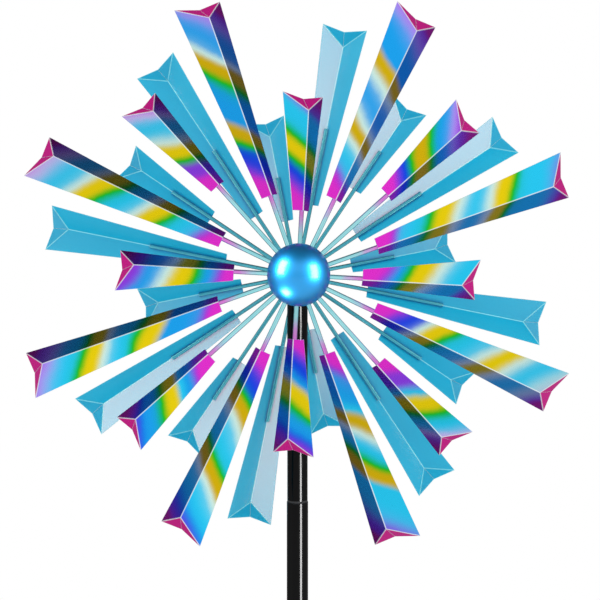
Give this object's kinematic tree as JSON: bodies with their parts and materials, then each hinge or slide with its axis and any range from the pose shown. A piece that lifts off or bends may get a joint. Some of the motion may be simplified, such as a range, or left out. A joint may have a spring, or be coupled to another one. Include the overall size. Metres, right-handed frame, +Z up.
{
  "type": "garden wind spinner",
  "caption": "Kinetic garden wind spinner: two counter-turning wheels of folded blades on one axle, on a swivelling pole with a pronged ground stake.",
  "frame": {"origin": "on the pole's axis at the ground line", "axes": "+Z up the pole, Y along the axle with the front wheel on the -Y side, +X to the right seen from the front"},
  "size_m": [0.5994, 0.3072, 1.9047],
  "materials": {
    "blade_paint": "metallic airbrushed paint, rainbow outside and teal inside",
    "rod_paint": "metallic teal paint",
    "ball_paint": "gloss metallic blue",
    "pole_paint": "gloss black",
    "bearing_steel": "ground steel",
    "zinc_steel": "zinc plated",
    "bush_plastic": "black nylon"
  },
  "bodies": {
    "pole": {"spindle": "zinc_steel", "thrust_ball": "bearing_steel", "upper_pole": "pole_paint", "lower_pole": "pole_paint", "pole_screws": "zinc_steel", "stake_post": "pole_paint", "stake_prongs": "pole_paint"},
    "head": {"axle": "zinc_steel", "axle_boss": "pole_paint", "axle_spacers": "zinc_steel", "bearing_spacers": "zinc_steel", "axle_washers": "zinc_steel", "axle_nuts": "zinc_steel", "bearing_inner_rings": "bearing_steel", "front_ball": "ball_paint", "rear_ball": "ball_paint", "ball_inserts": "zinc_steel", "head_tube": "pole_paint", "swivel_bushes": "bush_plastic", "thrust_pad": "bush_plastic"},
    "front_wheel": {"front_blade_01": "blade_paint", "front_blade_02": "blade_paint", "front_blade_03": "blade_paint", "front_blade_04": "blade_paint", "front_blade_05": "blade_paint", "front_blade_06": "blade_paint", "front_blade_07": "blade_paint", "front_blade_08": "blade_paint", "front_blade_09": "blade_paint", "front_blade_10": "blade_paint", "front_blade_11": "blade_paint", "front_blade_12": "blade_paint", "front_blade_13": "blade_paint", "front_blade_14": "blade_paint", "front_blade_15": "blade_paint", "front_blade_16": "blade_paint", "front_rods": "rod_paint", "front_hub": "rod_paint", "front_bearing_rings": "bearing_steel", "front_bearing_balls": "bearing_steel"},
    "rear_wheel": {"rear_blade_01": "blade_paint", "rear_blade_02": "blade_paint", "rear_blade_03": "blade_paint", "rear_blade_04": "blade_paint", "rear_blade_05": "blade_paint", "rear_blade_06": "blade_paint", "rear_blade_07": "blade_paint", "rear_blade_08": "blade_paint", "rear_blade_09": "blade_paint", "rear_blade_10": "blade_paint", "rear_blade_11": "blade_paint", "rear_blade_12": "blade_paint", "rear_blade_13": "blade_paint", "rear_blade_14": "blade_paint", "rear_blade_15": "blade_paint", "rear_blade_16": "blade_paint", "rear_rods": "rod_paint", "rear_hub": "rod_paint", "rear_bearing_rings": "bearing_steel", "rear_bearing_balls": "bearing_steel"}
  },
  "joints": [
    {"name": "head_swivel", "type": "hinge", "parent": "pole", "child": "head", "pos_m": [0, 0, 1.15], "axis": [0, 0, 1], "continuous": true},
    {"name": "front_wheel_spin", "type": "hinge", "parent": "head", "child": "front_wheel", "pos_m": [0, -0.08, 1.405], "axis": [0, -1, 0], "continuous": true},
    {"name": "rear_wheel_spin", "type": "hinge", "parent": "head", "child": "rear_wheel", "pos_m": [0, 0.08, 1.405], "axis": [0, -1, 0], "continuous": true}
  ]
}
